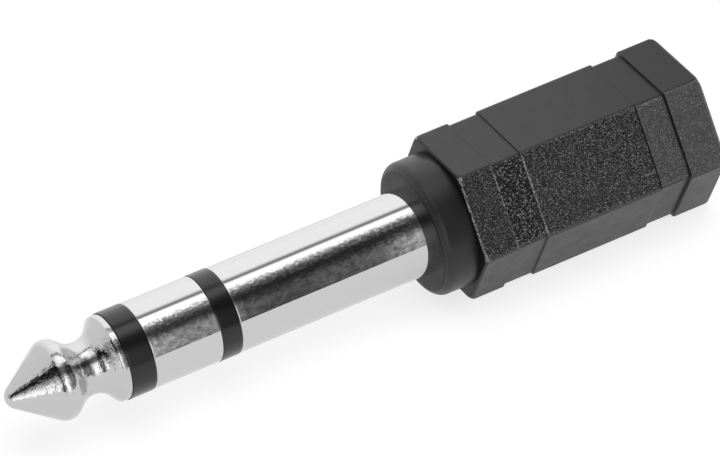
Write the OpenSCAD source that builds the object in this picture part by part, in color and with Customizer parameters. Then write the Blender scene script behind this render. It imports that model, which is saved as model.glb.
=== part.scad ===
// Headphone adapter: a 6.35 mm three-pole plug on a moulded six-sided grip
// that holds a 3.5 mm three-pole socket.
// X is the plug's axis. The plug points to -X and the socket opens to +X.
// Z is up, square to the grip's flat lower side.
// The origin is on the axis, where the collar stops against the jack it is pushed into.

/* [Plug] */
// Diameter of the three contacts
plug_d = 6.35; // [6.25:0.01:6.45]
// How far the two insulating rings stand over the contacts
insulator_rise = 0.025; // [0.01:0.005:0.05]
// Width of the insulating ring behind the tip
tip_insulator_w = 1.85; // [1.4:0.05:2.2]
// Length of the ring contact's band
ring_len = 5.2; // [4.5:0.1:6]
// Width of the insulating ring behind the ring contact
ring_insulator_w = 1.5; // [1.1:0.05:2]
// Length of the sleeve contact in front of the grip
sleeve_len = 15.25; // [13:0.05:17]
// Broken edge of each band
edge_break = 0.06; // [0.03:0.01:0.1]

/* [Tip] */
// Radius of the nose
nose_r = 0.9; // [0.75:0.05:1.05]
// Slope of the nose cone against the axis
cone_angle = 35; // [32:1:38]
// Diameter over the shoulder behind the cone
shoulder_d = 5.86; // [5.7:0.02:6]
// Radius of the shoulder's round
shoulder_round = 1.1; // [0.9:0.05:1.3]
// Slope of the shoulder's back, where a jack's spring latches
back_angle = 40; // [36:1:44]
// Diameter of the neck
neck_d = 3.9; // [3.7:0.05:4.1]
// Radius of the hollow round the neck
neck_round = 1.6; // [1.4:0.05:1.8]
// Slope of the flare from the neck to the base
flare_angle = 53; // [48:1:58]
// How far the base stays under the other contacts
base_drop = 0.045; // [0.02:0.005:0.1]
// Radius of the base's front edge
base_round = 0.3; // [0.2:0.05:0.4]
// Length of the base's straight rim
base_land = 0.35; // [0.2:0.05:0.6]

/* [Plug core] */
// Diameter of the rod that carries the tip's signal
rod_d = 2; // [1.8:0.05:2.2]
// Wall of each insulating tube
sleeving_wall = 0.45; // [0.35:0.05:0.5]
// Wall of the ring contact's stem
stem_wall = 0.5; // [0.4:0.05:0.6]
// How far each insulating ring's spigot reaches into the band behind it
spigot_len = 1.2; // [0.8:0.1:1.6]
// Wall of each spigot outside the tube behind it
spigot_wall = 0.3; // [0.2:0.05:0.4]

/* [Rear stack] */
// How far the sleeve contact's shank steps down from the plug inside the grip
shank_step = 0.175; // [0.16:0.005:0.25]
// Diameter of the sleeve contact's flange
flange_d = 8.5; // [8.35:0.05:8.7]
// Thickness of the flange
flange_t = 0.8; // [0.6:0.05:1]
// Length of the knurl that holds the plug in the grip
knurl_len = 1.9; // [1.5:0.1:2.1]
// Height of the knurl's ridges over the plug
knurl_height = 0.12; // [0.05:0.01:0.2]
// Number of ridges in the knurl
knurl_count = 30; // [20:2:40]
// Thickness of the sheet that the springs and the strap are stamped from
sheet_t = 0.3; // [0.2:0.05:0.35]
// Thickness of the insulating washers
washer_t = 0.6; // [0.4:0.05:0.7]
// Thickness of a rolled rim that clamps a lug
rim_t = 0.25; // [0.2:0.05:0.3]
// Width of a rolled rim
rim_w = 0.4; // [0.3:0.05:0.5]
// Width of the ring on which the spring carrier seats against the front washer
seat_w = 0.5; // [0.4:0.05:0.7]
// Diameter of the rod's riveted head
head_d = 3.2; // [2.9:0.1:3.5]
// Height of the rod's riveted head
head_t = 0.7; // [0.5:0.05:0.8]

/* [Grip] */
// Diameter of the round collar
collar_d = 9.9; // [9.5:0.1:10.3]
// Length of the collar
collar_len = 2.45; // [2.3:0.05:3]
// Round of the collar's front edge
collar_round = 0.65; // [0.4:0.05:0.9]
// Size across the grip's flats
grip_af = 10.7; // [10.6:0.05:11.2]
// Round of the six long edges
corner_round = 0.45; // [0.3:0.05:0.6]
// Length of the front band
front_band_len = 2.65; // [2.3:0.05:3]
// Length of the shallow groove behind the front band
front_groove_len = 2.3; // [2.2:0.05:2.8]
// Length of the middle
middle_len = 9.35; // [9.1:0.05:11]
// Length of the shallow groove in front of the rear band
rear_groove_len = 2.2; // [2.1:0.05:2.8]
// Length of the rear band
rear_band_len = 3.05; // [2.8:0.05:3.6]
// Depth of the two grooves
groove_depth = 0.13; // [0.08:0.01:0.2]
// Height of the rear band over the middle
rear_band_rise = 0.1; // [0.05:0.01:0.15]
// Length of the slope at each change of height
step_run = 0.05; // [0.04:0.01:0.12]
// Round of the front edges over the flats
front_round = 0.15; // [0.1:0.01:0.2]
// Round of the front corners
front_corner_round = 0.35; // [0.25:0.05:0.5]
// Round of the rear edges over the flats
rear_round = 0.35; // [0.25:0.05:0.4]
// Round of the rear corners, which is wider, as on a nut
rear_corner_round = 0.55; // [0.45:0.05:0.8]
// Thickness of the front wall that the flange seats on
front_wall = 3.3; // [3:0.1:3.6]

/* [Socket] */
// Bore of the metal bush
socket_d = 3.6; // [3.55:0.01:3.7]
// Length that a 3.5 mm plug reaches behind the mouth
socket_depth = 14; // [13.6:0.1:14.2]
// Length of the bush
bush_len = 5.4; // [5:0.1:5.8]
// Outer diameter of the bush
bush_d = 5.2; // [5:0.05:5.5]
// Diameter of the bush's flange
bush_flange_d = 6.8; // [6.4:0.1:7.2]
// Thickness of the bush's flange
bush_flange_t = 0.7; // [0.5:0.05:0.9]
// How deep the bush lies in the rear face
bush_recess = 0.1; // [0.05:0.01:0.2]
// Chamfer at the mouth
mouth_chamfer = 0.25; // [0.15:0.05:0.35]
// Diameter of the spring carrier's flange
carrier_flange_d = 9.2; // [9.1:0.05:9.4]
// Thickness of the spring carrier's flange
carrier_flange_t = 1; // [0.8:0.1:1.3]
// Bore that the plug's point runs in
guide_d = 4; // [3.9:0.05:4.2]

/* [Springs] */
// Width of the contact springs and of the strap
spring_w = 2.2; // [1.9:0.05:2.3]
// How deep a free spring stands in the plug's way
spring_bite = 0.4; // [0.2:0.05:0.5]
// Distance of the tip spring's crest from the point of a plug
tip_crest = 2.8; // [2.6:0.1:3]
// Distance of the ring spring's crest from the point of a plug
ring_crest = 5.2; // [4.9:0.1:5.5]
// Rise of a spring's free end over its crest
end_rise = 0.9; // [0.7:0.05:1.1]
// Inner radius of the bends
bend_r = 0.3; // [0.2:0.05:0.35]

/* [Hidden] */
$fn = 96;

// Clearance between pieces that slide together when the adapter is assembled
fit_gap = 0.05;
// Clearance between the springs and the slots they stand in
slot_gap = 0.2;
// Undercut between the knurl and the flange, so that the flange seats flat
knurl_relief = 0.2;
// Clearance past a spring's free end, for its travel when a plug pushes it out
travel_gap = 0.6;
// Broken edge of the insulating tubes
tube_edge = 0.02;
// How much longer the grip's slopes run along its corners than across its flats
corner_ease = 0.02;
// Diameter of the headphone's own plug
small_plug_d = 3.5;
// How far a cut runs past the surface it opens
over = 1;

// Radii, from the axis outwards
plug_r = plug_d / 2;
insulator_r = plug_r + insulator_rise;
base_r = plug_r - base_drop;
rod_r = rod_d / 2;
ring_bore_r = rod_r + sleeving_wall;
stem_r = ring_bore_r + stem_wall;
sleeve_bore_r = stem_r + sleeving_wall;
lip_r = sleeve_bore_r + rim_w;
knurl_r = plug_r + knurl_height;
valley_r = plug_r - knurl_height / 2;
shank_r = plug_r - shank_step;
flange_r = flange_d / 2;
cavity_r = flange_r + fit_gap;
carrier_r = cavity_r - fit_gap;
carrier_flange_r = carrier_flange_d / 2;
arm_height = half_chord(cavity_r, spring_w) - slot_gap - sheet_t / 2;
washer_r = arm_height - sheet_t / 2 - slot_gap;
pocket_r = washer_r - seat_w;
lug_r = pocket_r - fit_gap;
strap_height = half_chord(carrier_r, spring_w) - fit_gap - sheet_t / 2;

// Stations along the plug, from the shoulder towards the tip
sleeve_front = -sleeve_len;
ring_rear = sleeve_front - ring_insulator_w;
ring_front = ring_rear - ring_len;
tip_rear = ring_front - tip_insulator_w;

// The tip's rounds: each centre follows from the one before it, because the straight
// flank between two rounds touches both
nose_to_shoulder = flank_run(shoulder_d / 2 - shoulder_round, nose_r, shoulder_round, 90 + cone_angle);
shoulder_to_neck = flank_run(
    neck_d / 2 + neck_round - shoulder_d / 2 + shoulder_round, shoulder_round, -neck_round, 90 - back_angle
);
neck_to_base = flank_run(
    base_r - base_round - neck_d / 2 - neck_round, -neck_round, base_round, 90 + flare_angle
);
base_x = tip_rear - base_land;
neck_x = base_x - neck_to_base;
shoulder_x = neck_x - shoulder_to_neck;
nose_x = shoulder_x - nose_to_shoulder;

// Stations in the grip, from the shoulder towards the socket
grip_front = collar_len;
front_band_end = grip_front + front_band_len;
middle_start = front_band_end + front_groove_len;
middle_end = middle_start + middle_len;
rear_band_start = middle_end + rear_groove_len;
grip_rear = rear_band_start + rear_band_len;

// Stations of the stack that is riveted together behind the flange
flange_front = front_wall;
flange_rear = flange_front + flange_t;
strap_rear = flange_rear + sheet_t;
lip_rear = strap_rear + rim_t;
front_washer_rear = lip_rear + washer_t;
ring_lug_rear = front_washer_rear + sheet_t;
rim_rear = ring_lug_rear + rim_t;
rear_washer_rear = rim_rear + washer_t;
tip_lug_rear = rear_washer_rear + sheet_t;
head_rear = tip_lug_rear + head_t;
knurl_rear = flange_front - knurl_relief;
knurl_front = knurl_rear - knurl_len;

// Stations of the socket
mouth = grip_rear - bush_recess;
bush_front = mouth - bush_len;
tab_front = bush_front - sheet_t;
plug_point = mouth - socket_depth;
pocket_rear = head_rear + slot_gap;
crest_height = small_plug_d / 2 - spring_bite;
tip_crest_x = plug_point + tip_crest;
ring_crest_x = plug_point + ring_crest;

// The grip's half heights over its flats
front_half = grip_af / 2;
groove_half = front_half - groove_depth;
rear_half = front_half + rear_band_rise;

// Shares of a spring's free length: where its arm starts to lean in, and its end past the crest
lean_start = 0.3;
end_run = 0.8;

// Height over the axis at which a chord of width w meets a circle
function half_chord(r, w) = sqrt(pow(r, 2) - pow(w / 2, 2));

// Axial distance between the centres of two rounds that share a straight flank.
// rise is the second centre's height over the first, and a hollow has a negative radius.
// normal is the direction that the flank faces, as an angle to +X.
function flank_run(rise, r0, r1, normal) = (r0 - r1 - rise * sin(normal)) / cos(normal);

// Points of a round about c, between the two directions that it faces
function round_off(c, r, from, to, steps = 8) = [
    for (i = [0:steps])
        let (a = from + (to - from) * i / steps)
        c + r * [cos(a), sin(a)]
];

// Points rounded to a millionth, so that heights worked out in two ways are the same
function snapped(points) = [for (p = points) [round(p[0] * 1e6) / 1e6, round(p[1] * 1e6) / 1e6]];

function reversed(points) = [for (i = [len(points) - 1:-1:0]) points[i]];
function mirrored(points) = [for (p = points) [p[0], -p[1]]];
function unit(v) = v / norm(v);
function normal_of(v) = unit([-v[1], v[0]]);

// Arc that replaces corner b between a and c
function bend(a, b, c, r, steps = 5) =
    let (
        u = unit(a - b),
        w = unit(c - b),
        half = acos(u * w) / 2,
        centre = b + unit(u + w) * r / sin(half),
        from = b + u * r / tan(half) - centre,
        start = atan2(from[1], from[0]),
        turn = (cross(u, w) < 0 ? 1 : -1) * (180 - 2 * half)
    )
    [for (i = [0:steps]) centre + r * [cos(start + turn * i / steps), sin(start + turn * i / steps)]];

// Middle line of a strip that is bent at each inner corner
function bent_line(corners, r) = [
    corners[0],
    for (i = [1:len(corners) - 2])
        each bend(corners[i - 1], corners[i], corners[i + 1], r),
    corners[len(corners) - 1]
];

// Direction across a line at point i, long enough that both legs keep their thickness
function across(line, i) =
    let (
        last = len(line) - 1,
        before = normal_of(line[max(i, 1)] - line[max(i, 1) - 1]),
        after = normal_of(line[min(i, last - 1) + 1] - line[min(i, last - 1)])
    )
    unit(before + after) / sqrt((1 + before * after) / 2);

// Outline of a strip of thickness t about a bent line
function strip(corners, t) =
    let (line = bent_line(corners, bend_r + t / 2))
    concat(
        [for (i = [0:len(line) - 1]) line[i] + across(line, i) * t / 2],
        reversed([for (i = [0:len(line) - 1]) line[i] - across(line, i) * t / 2])
    );

// Outline of a ring with broken outer edges, between two stations and two radii
function ring_outline(x0, x1, inner, outer, edge = edge_break) = [
    [x0, inner],
    [x0, outer - edge],
    [x0 + edge, outer],
    [x1 - edge, outer],
    [x1, outer - edge],
    [x1, inner]
];

// Solid turned about the X axis from an outline of [station, radius] points
module turned(outline) {
    rotate([0, 90, 0]) rotate_extrude() polygon(snapped([for (p = outline) [p[1], p[0]]]));
}

// Cylinder along the X axis
module shaft(x0, x1, r) {
    translate([x0, 0, 0]) rotate([0, 90, 0]) cylinder(h = x1 - x0, r = r);
}

// Half heights of the grip's long sides: two bands, two shallow grooves and the middle.
// ease lengthens each slope.
function grip_bands(ease = 0) =
    let (run = step_run + ease)
    [
        [front_band_end - run, front_half],
        [front_band_end + ease, groove_half],
        [middle_start - ease, groove_half],
        [middle_start + run, front_half],
        [middle_end - run, front_half],
        [middle_end + ease, groove_half],
        [rear_band_start - ease, groove_half],
        [rear_band_start + run, rear_half]
    ];

// The same outline with its two end rounds, for ends of height h0 and h1
function round_ended(bands, h0, r0, h1, r1) = concat(
    reversed(round_off([grip_front + r0, h0 - r0], r0, 90, 180, 5)),
    bands,
    reversed(round_off([grip_rear - r1, h1 - r1], r1, 0, 90, 5))
);

// Six flats: the same side outline cut across the axis three times
module grip_flats() {
    side = round_ended(grip_bands(), front_half, front_round, rear_half, rear_round);
    intersection_for (turn = [0, 60, 120])
        rotate([turn + 90, 0, 0])
            linear_extrude(height = 2 * grip_af, center = true)
                polygon(snapped(concat(side, reversed(mirrored(side)))));
}

// Turned outline that rounds off the six long edges
module grip_corners() {
    corner_cut = corner_round * (1 / cos(30) - 1);
    bands = [for (p = grip_bands(corner_ease)) [p[0], p[1] / cos(30) - corner_cut]];
    edge = round_ended(
        bands, bands[0][1], front_corner_round, bands[len(bands) - 1][1], rear_corner_round
    );
    turned(concat(
        [[grip_front - over, 0], [grip_front - over, edge[0][1]]],
        edge,
        [[grip_rear + over, edge[len(edge) - 1][1]], [grip_rear + over, 0]]
    ));
}

module collar() {
    collar_r = collar_d / 2;
    turned(concat(
        [[0, 0]],
        round_off([collar_round, collar_r - collar_round], collar_round, 180, 90, 6),
        [[grip_front + over, collar_r], [grip_front + over, 0]]
    ));
}

module grip_body() {
    color("#3a3a3a")
        difference() {
            union() {
                intersection() {
                    grip_flats();
                    grip_corners();
                }
                collar();
            }
            shaft(-over, knurl_front, insulator_r + fit_gap / 2);
            shaft(knurl_front, front_wall, knurl_r);
            shaft(front_wall, grip_rear + over, cavity_r);
            shaft(grip_rear - carrier_flange_t, grip_rear + over, carrier_flange_r + fit_gap);
        }
}

module tip_contact() {
    nose_c = [nose_x, 0];
    shoulder_c = [shoulder_x, shoulder_d / 2 - shoulder_round];
    neck_c = [neck_x, neck_d / 2 + neck_round];
    base_c = [base_x, base_r - base_round];
    color("#d9d9d9")
        turned(concat(
            round_off(nose_c, nose_r, 180, 90 + cone_angle, 6),
            round_off(shoulder_c, shoulder_round, 90 + cone_angle, 90 - back_angle, 10),
            round_off(neck_c, -neck_round, 90 - back_angle, 90 + flare_angle, 12),
            round_off(base_c, base_round, 90 + flare_angle, 90, 5),
            [
                [tip_rear - edge_break, base_r],
                [tip_rear, base_r - edge_break],
                [tip_rear, rod_r],
                [tip_lug_rear, rod_r],
                [tip_lug_rear, head_d / 2]
            ],
            [for (a = [15:15:90]) [tip_lug_rear + head_t * sin(a), head_d / 2 * cos(a)]]
        ));
}

// Insulating ring with a spigot that centres the band behind it
module insulator(front, rear, inner) {
    spigot_r = inner + sleeving_wall + spigot_wall;
    turned([
        [front, inner],
        [front, insulator_r - edge_break],
        [front + edge_break, insulator_r],
        [rear - edge_break, insulator_r],
        [rear, insulator_r - edge_break],
        [rear, spigot_r],
        [rear + spigot_len, spigot_r],
        [rear + spigot_len, inner]
    ]);
}

module tip_insulator() {
    color("#1c1c1c") insulator(tip_rear, ring_front, rod_r);
}

module rod_sleeving() {
    color("#e8e2d0") turned(ring_outline(ring_front + spigot_len, rim_rear, rod_r, ring_bore_r, tube_edge));
}

module ring_contact() {
    color("#d9d9d9")
        turned([
            [ring_front, ring_bore_r + spigot_wall],
            [ring_front, plug_r - edge_break],
            [ring_front + edge_break, plug_r],
            [ring_rear - edge_break, plug_r],
            [ring_rear, plug_r - edge_break],
            [ring_rear, stem_r],
            [ring_lug_rear, stem_r],
            [ring_lug_rear, stem_r + rim_w],
            [rim_rear, stem_r + rim_w - edge_break],
            [rim_rear, ring_bore_r],
            [ring_front + spigot_len, ring_bore_r],
            [ring_front + spigot_len, ring_bore_r + spigot_wall]
        ]);
}

module ring_insulator() {
    color("#1c1c1c") insulator(ring_rear, sleeve_front, stem_r);
}

module stem_sleeving() {
    color("#e8e2d0") turned(ring_outline(sleeve_front + spigot_len, lip_rear, stem_r, sleeve_bore_r, tube_edge));
}

// Straight ridges that key the plug into the grip's front wall
module knurl() {
    half_pitch = 180 / knurl_count;
    translate([knurl_front, 0, 0])
        rotate([0, 90, 0])
            linear_extrude(height = knurl_len)
                difference() {
                    polygon([
                        for (i = [0:2 * knurl_count - 1])
                            let (r = i % 2 == 0 ? knurl_r : valley_r)
                            r * [cos(i * half_pitch), sin(i * half_pitch)]
                    ]);
                    circle(r = sleeve_bore_r);
                }
}

// The shank steps down at the shoulder, so the plug passes through the collar from behind
module sleeve_contact() {
    color("#d9d9d9") {
        turned([
            [sleeve_front, sleeve_bore_r + spigot_wall],
            [sleeve_front, plug_r - edge_break],
            [sleeve_front + edge_break, plug_r],
            [0, plug_r],
            [0, shank_r],
            [flange_front, shank_r],
            [flange_front, flange_r - edge_break],
            [flange_front + edge_break, flange_r],
            [flange_rear, flange_r],
            [flange_rear, lip_r],
            [strap_rear, lip_r],
            [strap_rear, lip_r + rim_w],
            [lip_rear, lip_r + rim_w - edge_break],
            [lip_rear, sleeve_bore_r],
            [sleeve_front + spigot_len, sleeve_bore_r],
            [sleeve_front + spigot_len, sleeve_bore_r + spigot_wall]
        ]);
        knurl();
    }
}

// Stamped eyelet that a rolled rim or a riveted head clamps
module eyelet(front, rear, inner, outer) {
    difference() {
        shaft(front, rear, outer);
        shaft(front - over, rear + over, inner);
    }
}

// Strap from the plug's sleeve to the socket's bush, along the carrier's +Y side
module sleeve_strap() {
    lug_x = (flange_rear + strap_rear) / 2;
    tab_x = (tab_front + bush_front) / 2;
    color("#c8a96a") {
        eyelet(flange_rear, strap_rear, lip_r, flange_r - rim_w);
        linear_extrude(height = spring_w, center = true)
            polygon(strip([
                [lug_x, lip_r + rim_w],
                [lug_x, strap_height],
                [tab_x, strap_height],
                [tab_x, socket_d / 2 + slot_gap]
            ], sheet_t));
    }
}

module front_washer() {
    color("#e8e2d0") turned(ring_outline(lip_rear, front_washer_rear, stem_r, washer_r));
}

// Contact spring: an eyelet at lug_front and an arm that leans in to its crest.
// side is 1 for an arm above the axis and -1 for one below it.
module contact_spring(lug_front, lug_rear, inner, outer, crest_x, side) {
    lug_x = (lug_front + lug_rear) / 2;
    run = crest_x - lug_x;
    color("#c8a96a") {
        eyelet(lug_front, lug_rear, inner, outer);
        rotate([90, 0, 0])
            linear_extrude(height = spring_w, center = true)
                polygon([
                    for (p = strip([
                        [lug_x, outer - sheet_t],
                        [lug_x, arm_height],
                        [lug_x + run * lean_start, arm_height],
                        [crest_x, crest_height],
                        [crest_x + end_run, crest_height + end_rise]
                    ], sheet_t)) [p[0], side * p[1]]
                ]);
    }
}

module ring_spring() {
    contact_spring(front_washer_rear, ring_lug_rear, stem_r, lug_r, ring_crest_x, 1);
}

module rear_washer() {
    color("#e8e2d0") turned(ring_outline(rim_rear, rear_washer_rear, rod_r, lug_r));
}

module tip_spring() {
    contact_spring(rear_washer_rear, tip_lug_rear, rod_r, head_d / 2 + rim_w, tip_crest_x, -1);
}

// Slot for a contact spring, open to the front and to the outside of the carrier
module spring_slot(crest_x, side) {
    w = spring_w + 2 * slot_gap;
    rear = crest_x + end_run + travel_gap;
    translate([front_washer_rear - over, -w / 2, side > 0 ? 0 : -cavity_r])
        cube([rear - front_washer_rear + over, w, cavity_r]);
}

module spring_carrier() {
    w = spring_w + 2 * slot_gap;
    strap_floor = strap_height - sheet_t / 2 - fit_gap;
    color("#262626")
        difference() {
            turned([
                [front_washer_rear, pocket_r],
                [front_washer_rear, carrier_r],
                [grip_rear - carrier_flange_t, carrier_r],
                [grip_rear - carrier_flange_t, carrier_flange_r],
                [grip_rear - edge_break, carrier_flange_r],
                [grip_rear, carrier_flange_r - edge_break],
                [grip_rear, bush_flange_d / 2],
                [mouth - bush_flange_t, bush_flange_d / 2],
                [mouth - bush_flange_t, bush_d / 2],
                [bush_front, bush_d / 2],
                [bush_front, guide_d / 2],
                [pocket_rear, guide_d / 2],
                [pocket_rear, pocket_r]
            ]);
            spring_slot(ring_crest_x, 1);
            spring_slot(tip_crest_x, -1);
            translate([front_washer_rear - over, strap_floor, -w / 2])
                cube([bush_front - front_washer_rear + over, cavity_r, w]);
            translate([tab_front - fit_gap, 0, -w / 2])
                cube([sheet_t + fit_gap, cavity_r, w]);
            translate([tab_front - bend_r, strap_floor - bend_r, -w / 2])
                cube([bend_r, cavity_r, w]);
        }
}

module socket_bush() {
    rim_r = bush_flange_d / 2;
    color("#d9d9d9")
        turned([
            [bush_front, socket_d / 2],
            [bush_front, bush_d / 2 - edge_break],
            [bush_front + edge_break, bush_d / 2],
            [mouth - bush_flange_t, bush_d / 2],
            [mouth - bush_flange_t, rim_r],
            [mouth - 2 * edge_break, rim_r],
            [mouth, rim_r - 2 * edge_break],
            [mouth, socket_d / 2 + mouth_chamfer],
            [mouth - mouth_chamfer, socket_d / 2]
        ]);
}

grip_body();
tip_contact();
tip_insulator();
rod_sleeving();
ring_contact();
ring_insulator();
stem_sleeving();
sleeve_contact();
sleeve_strap();
front_washer();
ring_spring();
rear_washer();
tip_spring();
spring_carrier();
socket_bush();
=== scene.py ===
"""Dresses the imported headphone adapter: a 6.35 mm three-pole plug on a six-sided moulded grip.

Sizes in the classes are millimetres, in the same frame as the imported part: X is the plug's axis, with
the plug towards -X and the socket towards +X, Z is up, and the origin is where the collar stops the plug.
"""

import logging
import math
from dataclasses import dataclass
from enum import Enum
from typing import Iterable

import bmesh
import bpy
from bmesh.types import BMEdge, BMesh, BMVert
from bpy.types import ID, Material, Node, NodeSocket, NodeTree, Object
from mathutils import Matrix, Vector


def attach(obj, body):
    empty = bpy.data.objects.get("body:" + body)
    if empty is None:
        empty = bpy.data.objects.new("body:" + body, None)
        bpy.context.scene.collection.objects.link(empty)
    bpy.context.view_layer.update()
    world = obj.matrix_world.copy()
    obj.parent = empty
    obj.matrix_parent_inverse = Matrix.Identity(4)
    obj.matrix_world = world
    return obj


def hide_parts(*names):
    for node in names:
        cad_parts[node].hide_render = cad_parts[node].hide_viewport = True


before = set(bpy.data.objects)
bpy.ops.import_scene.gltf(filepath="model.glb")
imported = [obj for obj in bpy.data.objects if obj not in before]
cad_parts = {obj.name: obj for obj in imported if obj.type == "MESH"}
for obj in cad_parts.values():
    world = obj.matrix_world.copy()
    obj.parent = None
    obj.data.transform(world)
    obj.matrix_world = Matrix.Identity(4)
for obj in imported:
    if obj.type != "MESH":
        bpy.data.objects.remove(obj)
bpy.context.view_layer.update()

Pair = tuple[float, float]
Triple = tuple[float, float, float]

MM = 0.001
# Points closer than WELD metres are merged, and a point within IN_PLANE metres of a plane lies in it
WELD = 1e-7
IN_PLANE = 1e-6
TURN_STEPS = 240
COS30 = math.cos(math.radians(30))
X_AXIS = Vector((1, 0, 0))
# Most values of a noise lie between these
NOISE_SPAN = (0.3, 0.7)

log = logging.getLogger("scene")


def linear(hex_colour: str) -> tuple[float, float, float, float]:
    """Turns an sRGB hex colour into the linear colour that a shader takes.

    Args:
        hex_colour: six hex digits, with or without a leading mark.

    Returns:
        Red, green, blue and an alpha of 1.
    """
    digits = hex_colour.lstrip("#")
    parts = [int(digits[i:i + 2], 16) / 255 for i in (0, 2, 4)]
    light = [c / 12.92 if c <= 0.04045 else ((c + 0.055) / 1.055) ** 2.4 for c in parts]
    return (*light, 1.0)


def add_node(
    tree: NodeTree, kind: str, inputs: dict[str | int, object] | None = None, **settings: object
) -> Node:
    """Adds a shader node with its settings, its constants and its links.

    Args:
        tree: the node tree that gets the node.
        kind: the node's type name, without the word ShaderNode that all of them start with.
        inputs: for each input, the constant that it holds or the socket that feeds it. A node stands for
            the first of its outputs that is in use.
        settings: properties to set on the node.

    Returns:
        The new node.
    """
    node = tree.nodes.new("ShaderNode" + kind)
    for name, value in settings.items():
        setattr(node, name, value)
    for key, value in (inputs or {}).items():
        if isinstance(value, Node):
            value = next(socket for socket in value.outputs if socket.enabled)
        if isinstance(value, NodeSocket):
            tree.links.new(value, node.inputs[key])
        else:
            node.inputs[key].default_value = value
    return node


def per_metre(size_mm: float) -> float:
    """Scale of a noise or cell pattern whose marks are size_mm apart, on coordinates in metres."""
    return 1 / (size_mm * MM)


def new_material(name: str) -> tuple[Material, NodeTree]:
    """Makes an empty node material.

    Args:
        name: the material's name.

    Returns:
        The material and its node tree.
    """
    material = bpy.data.materials.new(name)
    material.use_nodes = True
    material.node_tree.nodes.clear()
    return material, material.node_tree


def end_material(
    tree: NodeTree, pattern: Node, roughness: float, haze: Pair, inputs: dict[str, object],
    span: Pair = NOISE_SPAN,
) -> None:
    """Ends a material with its shader, whose roughness follows a pattern.

    Args:
        tree: the material's node tree.
        pattern: the node that the roughness follows.
        roughness: the surface's roughness.
        haze: the shares of it at both ends of the pattern's span.
        inputs: the shader's other inputs.
        span: low and high value of the pattern.
    """
    uneven = add_node(tree, "MapRange", {
        "Value": pattern, "From Min": span[0], "From Max": span[1],
        "To Min": roughness * haze[0], "To Max": roughness * haze[1],
    })
    shader = add_node(tree, "BsdfPrincipled", {"Roughness": uneven, **inputs})
    add_node(tree, "OutputMaterial", {"Surface": shader})


@dataclass(frozen=True)
class NickelPlate:
    """Turned brass with bright nickel plate: a mirror with the tool's marks and a faint waviness."""

    name: str
    colour: str = "#c5c5c5"
    roughness: float = 0.014
    haze: Pair = (0.7, 1.4)
    wave_mm: float = 1.3
    wave_depth_mm: float = 0.0012
    turning_mm: float = 0.12
    turning_depth_mm: float = 0.00002
    turning_stretch: float = 0.09

    def make(self) -> Material:
        """Builds the material."""
        material, tree = new_material(self.name)
        place = add_node(tree, "TexCoord").outputs["Object"]
        # The plate lies a little unevenly, which makes the edges of reflections ragged
        wave = add_node(tree, "TexNoise", {
            "Vector": place, "Scale": per_metre(self.wave_mm), "Detail": 3.0, "Roughness": 0.55,
        })
        wavy = add_node(tree, "Bump", {"Height": wave, "Distance": self.wave_depth_mm * MM})
        # The tool's marks run round the axis, so they change quickly along X only
        round_axis = (1.0, self.turning_stretch, self.turning_stretch)
        drawn = add_node(tree, "Mapping", {"Vector": place, "Scale": round_axis})
        turning = add_node(tree, "TexNoise", {"Vector": drawn, "Scale": per_metre(self.turning_mm)})
        turning_depth = self.turning_depth_mm * MM
        turned = add_node(tree, "Bump", {"Height": turning, "Distance": turning_depth, "Normal": wavy})
        end_material(
            tree, wave, self.roughness, self.haze,
            {"Base Color": linear(self.colour), "Metallic": 1.0, "Normal": turned},
        )
        return material


@dataclass(frozen=True)
class MouldedPlastic:
    """A moulded plastic: its colour, its gloss, the grain that the mould's wall gave it, and painted glints
    on the top of the grain where a glint colour is given.
    """

    name: str
    colour: str
    roughness: float
    grain_mm: float
    grain_depth_mm: float
    ior: float = 1.5
    shade: float = 0.12
    haze: Pair = (0.9, 1.1)
    cloud_grains: float = 9
    glint_colour: str | None = None
    glint_from: float = 0.5
    glint_span: float = 0.27

    def make(self) -> Material:
        """Builds the material."""
        material, tree = new_material(self.name)
        place = add_node(tree, "TexCoord").outputs["Object"]
        grain_scale = per_metre(self.grain_mm)
        grain = add_node(tree, "TexNoise", {"Vector": place, "Scale": grain_scale, "Roughness": 0.6})
        # Clouds, much wider than the grain, in which the colour and the gloss vary a little
        cloud_scale = per_metre(self.grain_mm * self.cloud_grains)
        cloud = add_node(tree, "TexNoise", {"Vector": place, "Scale": cloud_scale})
        base = linear(self.colour)[:3]
        dark, light = ((*(c * share for c in base), 1.0) for share in (1 - self.shade, 1 + self.shade))
        colour = add_node(tree, "Mix", {"Factor": cloud, "A": dark, "B": light}, data_type="RGBA")
        if self.glint_colour:
            # Painted glints: the top of each grain gets a paler colour, as if it caught the light
            glints = add_node(tree, "MapRange", {
                "Value": grain, "From Min": self.glint_from, "From Max": self.glint_from + self.glint_span,
            })
            pale = linear(self.glint_colour)
            colour = add_node(tree, "Mix", {"Factor": glints, "A": colour, "B": pale}, data_type="RGBA")
        bump = add_node(tree, "Bump", {"Height": grain, "Distance": self.grain_depth_mm * MM})
        end_material(
            tree, cloud, self.roughness, self.haze,
            {"Base Color": colour, "IOR": self.ior, "Normal": bump},
        )
        return material


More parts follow.
